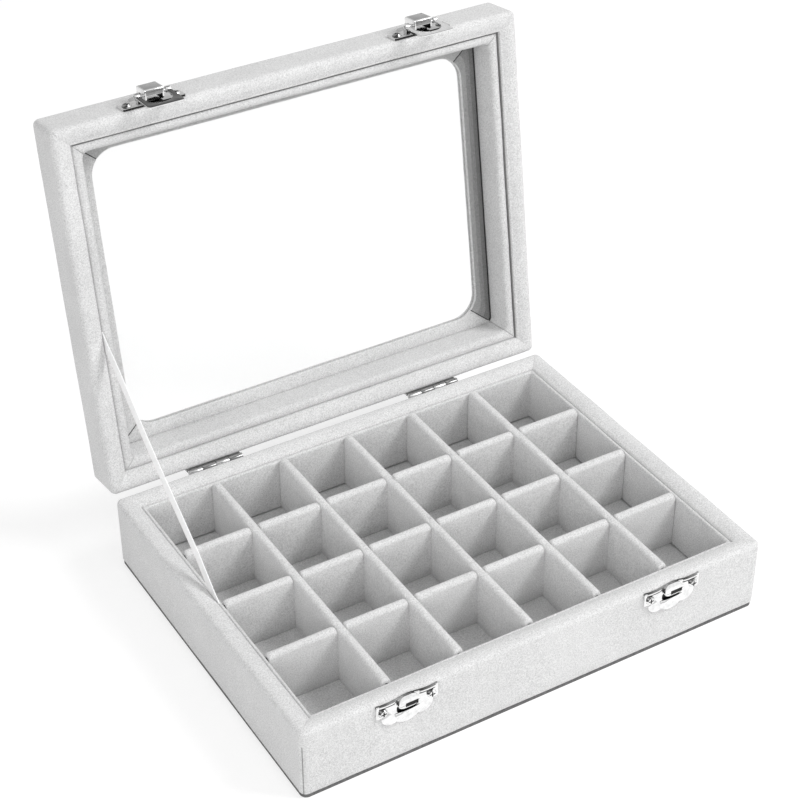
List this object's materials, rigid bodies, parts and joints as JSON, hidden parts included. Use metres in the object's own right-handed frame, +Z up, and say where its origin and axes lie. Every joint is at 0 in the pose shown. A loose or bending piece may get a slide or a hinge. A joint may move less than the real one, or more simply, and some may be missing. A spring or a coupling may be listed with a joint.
{
  "type": "jewelry display tray",
  "caption": "Velvet covered box tray with a hinged window lid, a lift-out grid of compartments, a stay ribbon and draw latches.",
  "frame": {"origin": "centre of the underside of the tray", "axes": "+X to the right seen from the front, +Y to the hinged back, +Z up; the latches are at the front, -Y"},
  "size_m": [0.2, 0.1977, 0.1867],
  "materials": {
    "velvet_frame": "matte velvet over a stiff frame",
    "velvet_lining": "matte velvet",
    "velvet_lid_lining": "matte padded velvet",
    "velvet_divider": "matte velvet over card",
    "dark_board": "dark grey board, matte",
    "clear_glass": "clear, polished",
    "satin_ribbon": "white satin",
    "hinge_metal": "bright plated",
    "screw_metal": "bright plated",
    "pin_metal": "plain",
    "loop_metal": "bright plated",
    "fitting_metal": "bright plated"
  },
  "bodies": {
    "base": {"base_frame": "velvet_frame", "base_bottom_board": "dark_board", "floor_pad": "velvet_lining", "base_lining_front": "velvet_lining", "base_lining_back": "velvet_lining", "base_lining_left": "velvet_lining", "base_lining_right": "velvet_lining", "hinge_base_leaf_left": "hinge_metal", "hinge_base_leaf_right": "hinge_metal", "hinge_pin_left": "hinge_metal", "hinge_pin_right": "hinge_metal", "base_hinge_screws": "screw_metal", "lid_stay_ribbon": "satin_ribbon", "catch_plate_left": "fitting_metal", "catch_plate_right": "fitting_metal", "catch_screws": "screw_metal"},
    "lid": {"lid_frame": "velvet_frame", "lid_window_panel": "velvet_lid_lining", "lid_glass": "clear_glass", "lid_lining_front": "velvet_lid_lining", "lid_lining_back": "velvet_lid_lining", "lid_lining_left": "velvet_lid_lining", "lid_lining_right": "velvet_lid_lining", "hinge_lid_leaf_left": "hinge_metal", "hinge_lid_leaf_right": "hinge_metal", "lid_hinge_screws": "screw_metal", "latch_plate_left": "fitting_metal", "latch_plate_right": "fitting_metal", "latch_screws": "screw_metal", "lever_pin_left": "pin_metal", "lever_pin_right": "pin_metal"},
    "lever_left": {"latch_lever_left": "fitting_metal", "loop_pin_left": "pin_metal"},
    "lever_right": {"latch_lever_right": "fitting_metal", "loop_pin_right": "pin_metal"},
    "loop_left": {"latch_loop_left": "loop_metal"},
    "loop_right": {"latch_loop_right": "loop_metal"},
    "divider_grid": {"divider_long_1": "velvet_divider", "divider_long_2": "velvet_divider", "divider_long_3": "velvet_divider", "divider_cross_1": "velvet_divider", "divider_cross_2": "velvet_divider", "divider_cross_3": "velvet_divider", "divider_cross_4": "velvet_divider", "divider_cross_5": "velvet_divider"}
  },
  "joints": [
    {"name": "lid_hinge", "type": "hinge", "parent": "base", "child": "lid", "pos_m": [0, 0.0766, 0.0301], "axis": [-1, 0, 0], "range_deg": [-98.7, 0], "deforming": ["lid_stay_ribbon"]},
    {"name": "lever_left_fold", "type": "hinge", "parent": "lid", "child": "lever_left", "pos_m": [-0.058, 0.10805, 0.18209], "axis": [-1, 0, 0], "range_deg": [0, 80]},
    {"name": "lever_right_fold", "type": "hinge", "parent": "lid", "child": "lever_right", "pos_m": [0.0571, 0.10805, 0.18209], "axis": [-1, 0, 0], "range_deg": [0, 80]},
    {"name": "loop_left_swing", "type": "hinge", "parent": "lever_left", "child": "loop_left", "pos_m": [-0.058, 0.10372, 0.18417], "axis": [-1, 0, 0], "range_deg": [-6.28, 95]},
    {"name": "loop_right_swing", "type": "hinge", "parent": "lever_right", "child": "loop_right", "pos_m": [0.0571, 0.10372, 0.18417], "axis": [-1, 0, 0], "range_deg": [-6.28, 95]},
    {"name": "grid_lift", "type": "slide", "parent": "base", "child": "divider_grid", "axis": [0, 0, 1], "range_m": [0, 0.06]}
  ]
}
